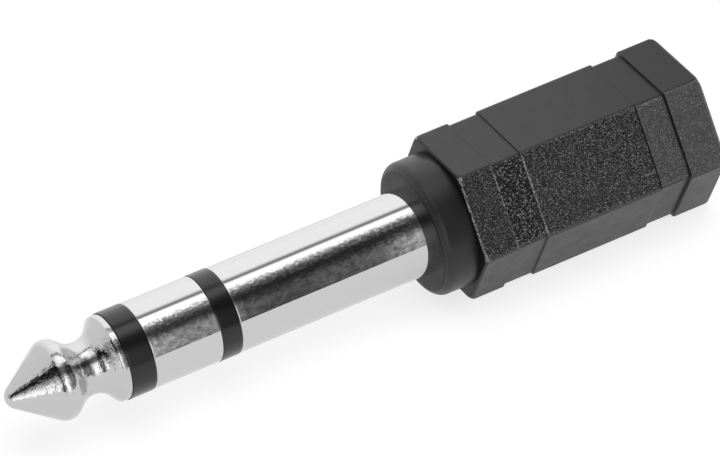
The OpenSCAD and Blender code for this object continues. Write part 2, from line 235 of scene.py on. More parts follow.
@dataclass(frozen=True)
class SpringBronze:
    """Phosphor bronze strip, rolled, stamped and bent: a warm metal with fine rolling lines."""

    name: str = "rolled_phosphor_bronze"
    colour: str = "#c9955a"
    roughness: float = 0.3
    haze: Pair = (0.7, 1.3)
    line_mm: float = 0.05
    line_depth_mm: float = 0.001
    line_stretch: float = 0.05

    def make(self) -> Material:
        """Builds the material."""
        material, tree = new_material(self.name)
        place = add_node(tree, "TexCoord").outputs["Object"]
        # The rolling lines run along the strip, which is along X on these springs
        drawn = add_node(tree, "Mapping", {"Vector": place, "Scale": (self.line_stretch, 1.0, 1.0)})
        lines = add_node(tree, "TexNoise", {"Vector": drawn, "Scale": per_metre(self.line_mm)})
        bump = add_node(tree, "Bump", {"Height": lines, "Distance": self.line_depth_mm * MM})
        end_material(
            tree, lines, self.roughness, self.haze,
            {"Base Color": linear(self.colour), "Metallic": 1.0, "Normal": bump}, span=(0.0, 1.0),
        )
        return material


# The two bands and the bush, burnished after turning: straight reflections
BURNISHED_NICKEL = NickelPlate("burnished_nickel_on_brass")
# The tip, cut with a form tool: its marks and hollows break up the reflections
FORMED_NICKEL = NickelPlate(
    "form_turned_nickel_on_brass", colour="#c1c1c1", roughness=0.022, wave_mm=0.42, wave_depth_mm=0.034,
    turning_mm=0.1, turning_depth_mm=0.009,
)
# ABS left as it came off a polished steel mould: an even dark grey with a soft sheen
SATIN_ABS = MouldedPlastic("satin_moulded_abs", "#1f1f1f", 0.4, 0.12, 0.001, ior=1.47)
# The front edges of the grained sides, painted pale as a highlight: thin broken light lines
HIGHLIGHTED_EDGE_ABS = MouldedPlastic(
    "painted_highlight_abs_edges", "#4a4a4a", 0.25, 0.15, 0.01, glint_colour="#d8d8d8", glint_from=0.4
)
# The rear edges of the grained sides, painted near black as shade: thin dark lines
SHADED_EDGE_ABS = MouldedPlastic("painted_shade_abs_edges", "#050505", 0.6, 0.15, 0.001, ior=1.3)
# The faces that look to the plug, a darker copy of the grip's plastic with a weaker sheen: painted shade,
# darker than their rounded edges
SHADED_FACE_ABS = MouldedPlastic("painted_shade_abs_face", "#111111", 0.38, 0.2, 0.001, ior=1.26)
# Acetal rings, moulded and turned flush: near black with a clear gloss
GLOSS_ACETAL = MouldedPlastic("gloss_moulded_acetal", "#141414", 0.2, 0.3, 0.002, ior=1.48)
# Uncoloured nylon: warm off-white, slightly waxy
NATURAL_NYLON = MouldedPlastic("natural_moulded_nylon", "#e3dcc6", 0.4, 0.1, 0.001, ior=1.53)
# The carrier's ABS, matt black
MATT_ABS = MouldedPlastic("matt_moulded_abs", "#262626", 0.5, 0.15, 0.002)


class Band(Enum):
    """The grip's bands from the collar to the socket, each with the grain of its three textured sides."""

    # The mould's walls were spark-eroded, and each band came out with a grit of its own. The pale colours on
    # top of the grain are painted glints
    FRONT = MouldedPlastic("eroded_abs_front_band", "#141414", 0.3, 0.095, 0.04, glint_colour="#989898")
    FRONT_GROOVE = MouldedPlastic(
        "eroded_abs_front_groove", "#080808", 0.26, 0.13, 0.07, glint_colour="#c8c8c8", glint_from=0.54
    )
    MIDDLE = MouldedPlastic("eroded_abs_middle", "#1a1a1a", 0.28, 0.105, 0.055, glint_colour="#a0a0a0")
    REAR_GROOVE = MouldedPlastic(
        "eroded_abs_rear_groove", "#404040", 0.34, 0.08, 0.03, glint_colour="#a4a4a4"
    )
    REAR = MouldedPlastic("eroded_abs_rear_band", "#4c4c4c", 0.45, 0.13, 0.015, glint_colour="#828282")


GRIP_FINISHES = (SATIN_ABS, HIGHLIGHTED_EDGE_ABS, SHADED_EDGE_ABS, SHADED_FACE_ABS, *(band.value for band in Band))


class Pen:
    """Draws a side outline of [station, height] points with bmesh operators, in the XZ plane."""

    def __init__(self, bm: BMesh, x: float, z: float) -> None:
        """Starts the outline.

        Args:
            bm: the mesh to draw in.
            x: first station.
            z: first height.
        """
        self.bm = bm
        self.first = bm.verts.new((x * MM, 0, z * MM))
        self.last = self.first

    def line_to(self, x: float, z: float) -> "Pen":
        """Draws a straight line.

        Args:
            x: station of its end.
            z: height of its end.

        Returns:
            The pen itself.
        """
        moved = bmesh.ops.extrude_vert_indiv(self.bm, verts=[self.last])["verts"]
        bmesh.ops.translate(self.bm, verts=moved, vec=Vector((x * MM, 0, z * MM)) - self.last.co)
        self.last = moved[0]
        return self

    def arc(self, x: float, z: float, degrees: float, steps: int) -> "Pen":
        """Draws an arc from the last point.

        Args:
            x: station of the arc's centre.
            z: height of the arc's centre.
            degrees: how far it turns, from +X towards +Z.
            steps: number of straight parts.

        Returns:
            The pen itself.
        """
        made = bmesh.ops.spin(
            self.bm, geom=[self.last], cent=(x * MM, 0, z * MM), axis=(0, -1, 0),
            angle=math.radians(degrees), steps=steps, use_merge=False,
        )
        self.last = next(e for e in made["geom_last"] if isinstance(e, BMVert))
        return self

    def bend(self, x: float, z: float, radius: float, start: float, degrees: float, steps: int) -> "Pen":
        """Draws a straight line to where an arc starts, and the arc.

        Args:
            x: station of the arc's centre.
            z: height of the arc's centre.
            radius: the arc's radius, negative for a hollow.
            start: the way that the outline faces where the arc starts, in degrees from +X towards +Z.
            degrees: how far it turns.
            steps: number of straight parts.

        Returns:
            The pen itself.
        """
        way = math.radians(start)
        self.line_to(x + radius * math.cos(way), z + radius * math.sin(way))
        return self.arc(x, z, degrees, steps)

    def close(self) -> None:
        """Joins the last point to the first."""
        self.bm.edges.new((self.last, self.first))


def spin_about_axis(bm: BMesh, geom: list[BMVert | BMEdge]) -> None:
    """Spins an outline a full turn about the plug's axis."""
    bmesh.ops.spin(
        bm, geom=geom, cent=(0, 0, 0), axis=X_AXIS, angle=math.tau, steps=TURN_STEPS, use_merge=True
    )


def close_seams(bm: BMesh) -> None:
    """Merges the points that lie on each other, and turns the faces outwards."""
    bmesh.ops.remove_doubles(bm, verts=bm.verts[:], dist=WELD)
    bmesh.ops.recalc_face_normals(bm, faces=bm.faces[:])


def turn_about_axis(bm: BMesh) -> None:
    """Turns a closed solid from the outline drawn so far."""
    spin_about_axis(bm, bm.verts[:] + bm.edges[:])
    close_seams(bm)


def new_object(name: str, data: ID) -> Object:
    """Puts a new object in the scene.

    Args:
        name: the object's name.
        data: its mesh, light or camera.

    Returns:
        The object.
    """
    made = bpy.data.objects.new(name, data)
    bpy.context.scene.collection.objects.link(made)
    return made


def mesh_object(bm: BMesh, name: str) -> Object:
    """Puts a new mesh object in the scene.

    Args:
        bm: the finished mesh, which is freed.
        name: the object's name.

    Returns:
        The object.
    """
    mesh = bpy.data.meshes.new(name)
    bm.to_mesh(mesh)
    bm.free()
    return new_object(name, mesh)


def finish_piece(bm: BMesh, name: str, node: str, sharp_degrees: float = 50) -> Object:
    """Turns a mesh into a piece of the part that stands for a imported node.

    Args:
        bm: the finished mesh, which is freed.
        name: the piece's name.
        node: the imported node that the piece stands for.
        sharp_degrees: edges that turn more than this stay sharp.

    Returns:
        The new object.
    """
    piece = mesh_object(bm, name)
    mesh = piece.data
    mesh.polygons.foreach_set("use_smooth", [True] * len(mesh.polygons))
    mesh.set_sharp_from_angle(angle=math.radians(sharp_degrees))
    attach(piece, "root")
    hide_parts(node)
    # The large faces keep their own shading beside the narrow rounds
    modifier = piece.modifiers.new("weighted_normals", "WEIGHTED_NORMAL")
    modifier.keep_sharp = True
    modifier.weight = 100
    log.info("%s: %d faces, stands for %s", name, len(mesh.polygons), node)
    return piece


@dataclass
class Plug:
    """The 6.35 mm plug: tip, two insulating rings, ring contact and sleeve, each turned in one piece."""

    radius: float = 3.175
    insulator_radius: float = 3.2
    sleeve_front: float = -15.25
    ring_rear: float = -16.75
    ring_front: float = -21.95
    tip_rear: float = -23.8
    edge_round: float = 0.06
    edge_steps: int = 3

    nose_round: float = 0.9
    nose_steps: int = 12
    cone_degrees: float = 35
    shoulder_radius: float = 2.93
    shoulder_round: float = 1.1
    shoulder_steps: int = 20
    back_degrees: float = 40
    neck_radius: float = 1.95
    neck_round: float = 1.6
    neck_steps: int = 28
    flare_degrees: float = 53
    base_radius: float = 3.13
    base_round: float = 0.3
    base_steps: int = 6
    base_land: float = 0.35

    rod_radius: float = 1.0
    head_radius: float = 1.6
    head_front: float = 6.7
    head_height: float = 0.7
    # The riveted head's corners, as shares of its height and its radius
    head_corners: tuple[Pair, ...] = ((0, 1), (0.4, 0.92), (0.8, 0.6), (1, 0))
    stem_bore: float = 1.45
    stem_radius: float = 1.95
    stem_rim: float = 2.35
    ring_lug_rear: float = 5.55
    ring_rim_rear: float = 5.8
    sleeve_bore: float = 2.4
    spigot_length: float = 1.2
    spigot_wall: float = 0.3
    sleeving_wall: float = 0.45

    shank_radius: float = 3.0
    knurl_front: float = 1.2
    knurl_rear: float = 3.1
    knurl_radius: float = 3.295
    knurl_valley: float = 3.115
    knurl_count: int = 30
    flange_front: float = 3.3
    flange_rear: float = 4.1
    flange_radius: float = 4.25
    lip_radius: float = 2.8
    strap_rear: float = 4.4
    lip_rear: float = 4.65
    rolled_radius: float = 3.2

    def _flank(self, rise: float, r0: float, r1: float, normal: float) -> float:
        """Axial distance between two rounds that share a straight flank.

        Args:
            rise: height of the second centre over the first.
            r0: radius of the first round, negative for a hollow.
            r1: radius of the second round, negative for a hollow.
            normal: direction that the flank faces, in degrees from +X.

        Returns:
            The distance.
        """
        a = math.radians(normal)
        return (r0 - r1 - rise * math.sin(a)) / math.cos(a)

    def tip(self) -> Object:
        """Builds the tip, with the rod that runs through the plug and its riveted head.

        Returns:
            The piece.
        """
        cone, back = 90 + self.cone_degrees, 90 - self.back_degrees
        flare = 90 + self.flare_degrees
        shoulder_z = self.shoulder_radius - self.shoulder_round
        neck_z = self.neck_radius + self.neck_round
        base_z = self.base_radius - self.base_round
        base_x = self.tip_rear - self.base_land
        neck_x = base_x - self._flank(base_z - neck_z, -self.neck_round, self.base_round, flare)
        shoulder_x = neck_x - self._flank(neck_z - shoulder_z, self.shoulder_round, -self.neck_round, back)
        nose_x = shoulder_x - self._flank(shoulder_z, self.nose_round, self.shoulder_round, cone)
        bm = bmesh.new()
        pen = Pen(bm, nose_x - self.nose_round, 0)
        pen.arc(nose_x, 0, cone - 180, self.nose_steps)
        pen.bend(shoulder_x, shoulder_z, self.shoulder_round, cone, back - cone, self.shoulder_steps)
        pen.bend(neck_x, neck_z, -self.neck_round, back, flare - back, self.neck_steps)
        pen.bend(base_x, base_z, self.base_round, flare, 90 - flare, self.base_steps)
        self._rear_edge(pen, self.tip_rear, self.base_radius)
        pen.line_to(self.tip_rear, self.rod_radius).line_to(self.head_front, self.rod_radius)
        for along, out in self.head_corners:
            pen.line_to(self.head_front + self.head_height * along, self.head_radius * out)
        turn_about_axis(bm)
        return finish_piece(bm, "tip", "tip_contact", sharp_degrees=40)

    def _front_edge(self, pen: Pen, front: float, radius: float) -> None:
        """Rounds a band's front edge, with a short land that keeps the shading of the rest straight."""
        edge = self.edge_round
        pen.bend(front + edge, radius - edge, edge, 180, -90, self.edge_steps)
        pen.line_to(front + edge * 2, radius)

    def _rear_edge(self, pen: Pen, rear: float, radius: float) -> None:
        """Rounds a band's rear edge."""
        edge = self.edge_round
        pen.bend(rear - edge, radius - edge, edge, 90, -90, self.edge_steps)

    def _insulator(self, front: float, rear: float, inner: float, name: str, node: str) -> Object:
        """Builds an insulating ring with the spigot that centres the band behind it.

        Args:
            front: front station.
            rear: rear station.
            inner: radius of its hole.
            name: the piece's name.
            node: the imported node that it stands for.

        Returns:
            The piece.
        """
        spigot = inner + self.sleeving_wall + self.spigot_wall
        bm = bmesh.new()
        pen = Pen(bm, front, inner)
        self._front_edge(pen, front, self.insulator_radius)
        pen.line_to(rear - self.edge_round * 2, self.insulator_radius)
        self._rear_edge(pen, rear, self.insulator_radius)
        pen.line_to(rear, spigot).line_to(rear + self.spigot_length, spigot)
        pen.line_to(rear + self.spigot_length, inner).close()
        turn_about_axis(bm)
        return finish_piece(bm, name, node)

    def insulators(self) -> list[Object]:
        """Builds both insulating rings."""
        return [
            self._insulator(self.tip_rear, self.ring_front, self.rod_radius, "tip_ring", "tip_insulator"),
            self._insulator(
                self.ring_rear, self.sleeve_front, self.stem_radius, "middle_ring", "ring_insulator"
            ),
        ]

    def ring_contact(self) -> Object:
        """Builds the ring contact's band with its stem, which is rolled over at the rear.

        Returns:
            The piece.
        """
        front, rear, edge = self.ring_front, self.ring_rear, self.edge_round
        seat = front + self.spigot_length
        bm = bmesh.new()
        pen = Pen(bm, front, self.stem_bore + self.spigot_wall)
        self._front_edge(pen, front, self.radius)
        pen.line_to(rear - edge * 2, self.radius)
        self._rear_edge(pen, rear, self.radius)
        pen.line_to(rear, self.stem_radius).line_to(self.ring_lug_rear, self.stem_radius)
        pen.line_to(self.ring_lug_rear, self.stem_rim).line_to(self.ring_rim_rear, self.stem_rim - edge)
        pen.line_to(self.ring_rim_rear, self.stem_bore).line_to(seat, self.stem_bore)
        pen.line_to(seat, self.stem_bore + self.spigot_wall).close()
        turn_about_axis(bm)
        return finish_piece(bm, "ring_band", "ring_contact")

    def sleeve(self) -> Object:
        """Builds the sleeve with its knurled shank, its flange and its rolled rim.

        Returns:
            The piece.
        """
        edge = self.edge_round
        seat = self.sleeve_front + self.spigot_length
        bm = bmesh.new()
        pen = Pen(bm, self.sleeve_front, self.sleeve_bore + self.spigot_wall)
        self._front_edge(pen, self.sleeve_front, self.radius)
        pen.line_to(0, self.radius).line_to(0, self.shank_radius)
        pen.line_to(self.knurl_front, self.shank_radius).line_to(self.knurl_front, self.knurl_valley)
        pen.line_to(self.knurl_rear, self.knurl_valley).line_to(self.knurl_rear, self.shank_radius)
        pen.line_to(self.flange_front, self.shank_radius)
        pen.line_to(self.flange_front, self.flange_radius - edge)
        pen.line_to(self.flange_front + edge, self.flange_radius)
        pen.line_to(self.flange_rear, self.flange_radius).line_to(self.flange_rear, self.lip_radius)
        pen.line_to(self.strap_rear, self.lip_radius).line_to(self.strap_rear, self.rolled_radius)
        pen.line_to(self.lip_rear, self.rolled_radius - edge).line_to(self.lip_rear, self.sleeve_bore)
        pen.line_to(seat, self.sleeve_bore).line_to(seat, self.sleeve_bore + self.spigot_wall).close()
        turn_about_axis(bm)
        self._raise_knurl(bm)
        return finish_piece(bm, "sleeve", "sleeve_contact")

    def _raise_knurl(self, bm: BMesh) -> None:
        """Pulls the knurl's ridges outwards, highest along their middle lines.

        Args:
            bm: the turned sleeve.
        """
        valleys = [
            v for v in bm.verts if v.co.x > 0 and abs(v.co.yz.length - self.knurl_valley * MM) < IN_PLANE
        ]
        per_ridge = TURN_STEPS // self.knurl_count
        rise = self.knurl_radius / self.knurl_valley - 1
        for vert in valleys:
            step = round(math.atan2(vert.co.y, vert.co.z) / math.tau * TURN_STEPS) % per_ridge
            from_middle = min(step, per_ridge - step) / per_ridge
            # The ridge takes the middle half of its share of the turn
            vert.co.yz *= 1 + rise * max(0, 1 - from_middle * 4)

    def dress(self, pieces: Iterable[Object], material: Material) -> None:
        """Gives the pieces a material."""
        for piece in pieces:
            piece.data.materials.append(material)


@dataclass
class Grip:
    """The six-sided moulded grip with its round collar, its bands and its two shallow grooves."""

    half_flats: float = 5.35
    groove_half: float = 5.22
    rear_half: float = 5.45
    front: float = 2.45
    front_band_end: float = 5.1
    middle_start: float = 7.4
    middle_end: float = 16.75
    rear_band_start: float = 18.95
    rear: float = 22.0
    slope: float = 0.05
    brow: float = 0.05
    brow_steps: int = 3
    # Width of the strip of painted shade before the middle band's end
    shade_strip: float = 0.07
    front_round: float = 0.15
    front_corner_round: float = 0.35
    rear_round: float = 0.35
    rear_corner_round: float = 0.55
    corner_round: float = 0.45
    corner_steps: int = 5
    end_steps: int = 6
    flat_cuts: int = 23

    collar_radius: float = 4.95
    collar_round: float = 0.65
    collar_steps: int = 10
    bore_radius: float = 3.177
    knurl_front: float = 1.2
    knurl_bore: float = 3.295
    front_wall: float = 3.3
    cavity_radius: float = 4.3
    flange_bore: float = 4.65
    flange_front: float = 21.0

    # The grained sides, in degrees round the axis from the top
    grained_sides: tuple[int, ...] = (60, 180, 300)
    # The least share along X in the normal of an end face, and of a step's face
    end_share: float = 0.95
    step_share: float = 0.15
    # How far from their stations a step's faces and the front face may lie
    step_reach: float = 1.0
    front_reach: float = 0.1

    @property
    def strip_start(self) -> float:
        """Where the middle band's strip of painted shade starts."""
        return self.middle_end - self.slope - self.brow - self.shade_strip

    def _wall(self, pen: Pen, station: float, half: float, falls: bool) -> None:
        """Draws a leaning wall between a groove and a band, with its upper edge rounded.

        Args:
            pen: the pen, at the outline in front of the wall.
            station: where the wall meets the groove.
            half: half height of the band.
            falls: whether the groove is behind the wall.
        """
        lean = math.atan2(self.slope, half - self.groove_half)
        reach = self.slope + self.brow * math.tan(math.pi / 4 - lean / 2)
        turn = math.degrees(lean) - 90
        if falls:
            pen.bend(station - reach, half - self.brow, self.brow, 90, turn, self.brow_steps)
        pen.line_to(station, self.groove_half)
        if not falls:
            pen.bend(station + reach, half - self.brow, self.brow, 90 - turn, turn, self.brow_steps)

    def _side_stations(self) -> list[Pair]:
        """Draws one side of the grip and reads back its stations and half heights.

        Returns:
            Station and half height of each ring in metres, from the collar to the socket.
        """
        bm = bmesh.new()
        pen = Pen(bm, self.front, self.half_flats - self.front_round)
        pen.arc(self.front + self.front_round, self.half_flats - self.front_round, -90, self.end_steps)
        spare = (self.front_corner_round - self.front_round) / self.end_steps
        for step in range(1, self.end_steps + 1):
            pen.line_to(self.front + self.front_round + spare * step, self.half_flats)
        self._wall(pen, self.front_band_end, self.half_flats, falls=True)
        self._wall(pen, self.middle_start, self.half_flats, falls=False)
        pen.line_to(self.strip_start, self.half_flats)
        self._wall(pen, self.middle_end, self.half_flats, falls=True)
        self._wall(pen, self.rear_band_start, self.rear_half, falls=False)
        spare = (self.rear_corner_round - self.rear_round) / self.end_steps
        for step in range(self.end_steps + 1):
            pen.line_to(self.rear - self.rear_corner_round + spare * step, self.rear_half)
        pen.arc(self.rear - self.rear_round, self.rear_half - self.rear_round, -90, self.end_steps)
        stations = sorted(((v.co.x, v.co.z) for v in bm.verts), key=lambda s: (s[0], -s[1]))
        bm.free()
        return stations

    def _shell(self, bm: BMesh) -> None:
        """Builds the six sides by extruding a hexagon from ring to ring, and rounds the long edges.

        Args:
            bm: the mesh to build in.
        """
        stations = self._side_stations()
        x, half = stations[0]
        upright = Matrix.Translation((x, 0, 0)) @ Matrix.Rotation(math.radians(90), 4, "Y")
        ring = bmesh.ops.create_circle(bm, cap_ends=False, segments=6, radius=half / COS30, matrix=upright)
        edges = list({e for v in ring["verts"] for e in v.link_edges})
        for next_x, next_half in stations[1:]:
            made = bmesh.ops.extrude_edge_only(bm, edges=edges)["geom"]
            verts = [e for e in made if isinstance(e, BMVert)]
            grow = next_half / half
            bmesh.ops.scale(bm, vec=(1, grow, grow), verts=verts)
            bmesh.ops.translate(bm, vec=(next_x - x, 0, 0), verts=verts)
            edges = [e for e in made if isinstance(e, BMEdge)]
            x, half = next_x, next_half
        along = [e for e in bm.edges if abs(e.verts[0].co.x - e.verts[1].co.x) > WELD]
        bmesh.ops.bevel(
            bm, geom=along, offset=self.corner_round * math.tan(math.radians(30)) * MM, offset_type="OFFSET",
            segments=self.corner_steps, profile=0.5, affect="EDGES", material=-1, clamp_overlap=False,
        )

    def _round_ends(self, bm: BMesh) -> None:
        """Rounds the corners of both ends as on a nut, wider than the edges over the flats.

        Args:
            bm: the mesh that holds the six sides.
        """
        front_stop = self.front + self.front_corner_round
        rear_stop = self.rear - self.rear_corner_round
        tolerance = IN_PLANE / MM
        across = [
            e for e in bm.edges
            if abs(e.verts[0].co.x - e.verts[1].co.x) < WELD and e.calc_length() > self.half_flats / 2 * MM
            and not front_stop + tolerance < e.verts[0].co.x / MM < rear_stop - tolerance
        ]
        bmesh.ops.subdivide_edges(bm, edges=across, cuts=self.flat_cuts, use_grid_fill=True)
        corner_cut = self.corner_round * (1 / COS30 - 1)
        ends = (
            (front_stop, -1, self.half_flats, self.front_corner_round),
            (rear_stop, 1, self.rear_half, self.rear_corner_round),
        )
        for stop, side, half, round_mm in ends:
            centre = half / COS30 - corner_cut - round_mm
            for vert in bm.verts:
                past = min((vert.co.x / MM - stop) * side, round_mm)
                radius = vert.co.yz.length / MM
                if past > 0 and radius > centre + math.sqrt(round_mm ** 2 - past ** 2):
                    vert.co.yz *= (centre + math.sqrt(round_mm ** 2 - past ** 2)) / radius

    def _bore(self, bm: BMesh) -> None:
        """Turns the collar, the bore that the plug sits in and the cavity for the works.

        Args:
            bm: the mesh to build in.
        """
        bend = self.collar_round
        pen = Pen(bm, self.front, self.collar_radius)
        pen.bend(bend, self.collar_radius - bend, bend, 90, 90, self.collar_steps)
        pen.line_to(0, self.bore_radius).line_to(self.knurl_front, self.bore_radius)
        pen.line_to(self.knurl_front, self.knurl_bore).line_to(self.front_wall, self.knurl_bore)
        pen.line_to(self.front_wall, self.cavity_radius).line_to(self.flange_front, self.cavity_radius)
        pen.line_to(self.flange_front, self.flange_bore).line_to(self.rear, self.flange_bore)
        outline = [v for v in bm.verts if not v.link_faces]
        spin_about_axis(bm, outline + list({e for v in outline for e in v.link_edges}))

    def _close_end(self, bm: BMesh, station: float) -> None:
        """Fills the flat face between a side's last ring and the round opening in it.

        Args:
            bm: the mesh.
            station: where the face lies.
        """
        rim = [
            e for e in bm.edges
            if e.is_boundary and all(abs(v.co.x - station * MM) < IN_PLANE for v in e.verts)
        ]
        bmesh.ops.triangle_fill(bm, use_beauty=True, use_dissolve=False, edges=rim, normal=X_AXIS)

    def build(self) -> Object:
        """Builds the grip.

        Returns:
            The piece.
        """
        bm = bmesh.new()
        self._shell(bm)
        self._round_ends(bm)
        self._bore(bm)
        self._close_end(bm, self.front)
        self._close_end(bm, self.rear)
        close_seams(bm)
        for face in bm.faces:
            face.material_index = GRIP_FINISHES.index(self._finish_at(face.normal, face.calc_center_median()))
        return finish_piece(bm, "grip", "grip_body")

    def _band_at(self, x: float) -> Band:
        """Finds the band that a station is in."""
        starts = (
            self.front_band_end - self.slope, self.middle_start, self.middle_end - self.slope,
            self.rear_band_start,
        )
        return list(Band)[sum(x >= start for start in starts)]

    def _finish_at(self, normal: Vector, centre: Vector) -> MouldedPlastic:
        """Finds the finish of a face of the grip.

        Args:
            normal: the way that the face looks.
            centre: its middle, in metres.

        Returns:
            The finish.
        """
        x = centre.x / MM
        # The faces that look to the plug get painted shade
        if normal.x < -self.end_share and x < self.front + self.front_reach:
            return SHADED_FACE_ABS
        if centre.yz.length <= self.collar_radius * MM:
            return SATIN_ABS
        side = math.degrees(math.atan2(-normal.y, normal.z)) % 360
        # The middle of a rounded corner goes with its grained side
        nearest = round((side + (1 if side % 120 < 60 else -1)) / 60) * 60
        if abs(normal.x) > self.end_share or nearest % 360 not in self.grained_sides:
            return SATIN_ABS
        step = abs(normal.x) > self.step_share
        # The faces of the front steps get painted highlights
        if step and x < self.middle_end - self.step_reach:
            return HIGHLIGHTED_EDGE_ABS
        # The rear steps and the strip before the middle band's end get painted shade
        if self.strip_start < x < self.middle_end or step and x < self.rear_band_start + self.step_reach:
            return SHADED_EDGE_ABS
        return self._band_at(x).value

    def dress(self, piece: Object) -> None:
        """Gives the grip its finishes, in the order of their numbers."""
        for finish in GRIP_FINISHES:
            piece.data.materials.append(finish.make())


@dataclass
class Socket:
    """The metal bush in the socket's mouth, which the carrier holds."""

    bore_radius: float = 1.8
    radius: float = 2.6
    flange_radius: float = 3.4
    front: float = 16.5
    mouth: float = 21.9
    flange_thickness: float = 0.7
    mouth_round: float = 0.25
    mouth_steps: int = 5
    rim_round: float = 0.12
    rim_steps: int = 4
    front_steps: int = 3

    def bush(self) -> Object:
        """Builds the bush, with a rounded mouth and rim.

        Returns:
            The piece.
        """
        under = self.mouth - self.flange_thickness
        rim, lip = self.rim_round, self.mouth_round
        bm = bmesh.new()
        pen = Pen(bm, self.front, self.bore_radius)
        pen.bend(self.front + rim, self.radius - rim, rim, 180, -90, self.front_steps)
        pen.line_to(under, self.radius).line_to(under, self.flange_radius)
        pen.bend(self.mouth - rim, self.flange_radius - rim, rim, 90, -90, self.rim_steps)
        pen.bend(self.mouth - lip, self.bore_radius + lip, lip, 0, -90, self.mouth_steps)
        pen.close()
        turn_about_axis(bm)
        return finish_piece(bm, "bush", "socket_bush")


@dataclass
class Works:
    """The inner pieces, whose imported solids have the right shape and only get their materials."""

    nylon: tuple[str, ...] = ("rod_sleeving", "stem_sleeving", "front_washer", "rear_washer")
    bronze: tuple[str, ...] = ("sleeve_strap", "ring_spring", "tip_spring")
    carrier: tuple[str, ...] = ("spring_carrier",)

    def dress(self) -> None:
        """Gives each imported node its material."""
        finishes = ((self.nylon, NATURAL_NYLON), (self.bronze, SpringBronze()), (self.carrier, MATT_ABS))
        for nodes, finish in finishes:
            material = finish.make()
            for node in nodes:
                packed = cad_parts[node]
                packed.data.materials.clear()
                packed.data.materials.append(material)
                log.info("%s: %s", node, material.name)


# The light tent's levels round it, by the degrees from the front over the top
ROUND_LEVELS = {
    "cone_front": (
        (0, 1.0), (6, 1.0), (16, 0.8), (26, 0.58), (36, 0.38), (46, 0.2), (56, 0.06), (61, 0.005), (68, 0.0),
    ),
    "front": ((-6, 0.8), (8, 1.0), (30, 1.0), (38, 0.6), (44, 0.24), (52, 0.06), (62, 0.01), (72, 0.0)),
    "tip_top": ((60, 0.002), (92, 0.002), (97, 0.12), (190, 0.128)),
    "grip_top": (
        (55, 0.003), (60, 0.005), (64, 0.009), (72, 0.0245), (76, 0.042), (80, 0.0855), (84, 0.16),
        (87, 0.225), (98, 0.225), (100.5, 0.12), (103, 0.044), (106.5, 0.042), (109.5, 0.09),
        (113.5, 0.17), (118, 0.182), (150, 0.181), (170, 0.165), (190, 0.158),
    ),
}
# Its levels along it, by the station. The last two blend the tip's levels into those of the rest
ALONG_LEVELS = {
    "front_level": (
        (-150, 0.17), (-120, 0.5), (-95, 0.5), (-85, 0.16), (-70, 0.035), (-60, 0.03), (-52, 0.06),
        (-46, 0.3), (-36, 0.45), (-20, 0.5), (-14, 0.18), (-4, 0.15), (-1, 0.09), (3.8, 0.09),
        (5, 0.034), (8.4, 0.021), (12, 0.033), (16.5, 0.034), (18.2, 0.075), (19.5, 0.125),
        (22, 0.12), (30, 0.05),
    ),
    "top_level": (
        (-190, 0.5), (-140, 0.95), (-100, 1.0), (-52, 1.0), (-44, 0.7), (-34, 0.8), (-20, 0.95),
        (-10, 1.0), (36, 1.0), (45, 0.5),
    ),
    "at_neck": ((-95, 0.0), (-85, 1.0)),
    "at_grip": ((-52, 0.0), (-44, 1.0)),
}


